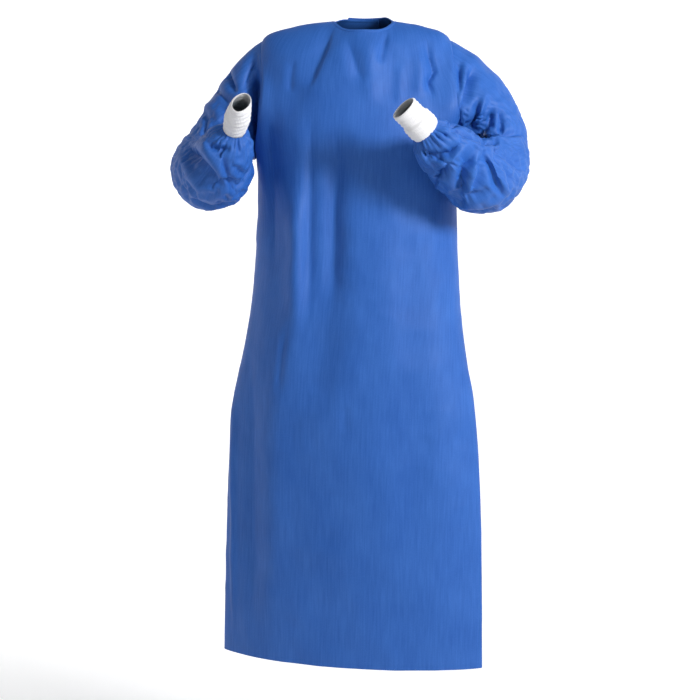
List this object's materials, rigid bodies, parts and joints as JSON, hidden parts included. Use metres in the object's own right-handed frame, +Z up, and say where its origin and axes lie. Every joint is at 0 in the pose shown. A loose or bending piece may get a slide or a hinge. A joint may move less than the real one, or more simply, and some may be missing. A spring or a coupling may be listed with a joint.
{
  "type": "surgical gown",
  "caption": "Long-sleeved blue surgical gown in its worn hollow form, elbows bent, with white knit cuffs, a bound round neck and an overlapped back closed by a tab and ties.",
  "frame": {"origin": "middle of the neck opening, level with its two sides, where the wearer's shoulders hold the gown up", "axes": "+Z up, the front faces -Y, the wearer's left is +X"},
  "size_m": [0.6728, 0.4255, 1.2483],
  "materials": {
    "blue_nonwoven": "soft matt nonwoven with a fine embossed pattern",
    "blue_trim": "folded nonwoven strip",
    "white_knit": "ribbed white knit"
  },
  "bodies": {
    "root": {"front_panel": "blue_nonwoven", "back_panel_left": "blue_nonwoven", "back_panel_right": "blue_nonwoven", "sleeve_right": "blue_nonwoven", "sleeve_left": "blue_nonwoven", "cuff_right": "white_knit", "cuff_left": "white_knit", "neck_binding": "blue_trim", "neck_tab": "blue_trim", "tie_left": "blue_nonwoven", "tail_left": "blue_nonwoven", "tie_right": "blue_nonwoven", "tail_right": "blue_nonwoven", "tie_knot": "blue_nonwoven"}
  },
  "joints": []
}
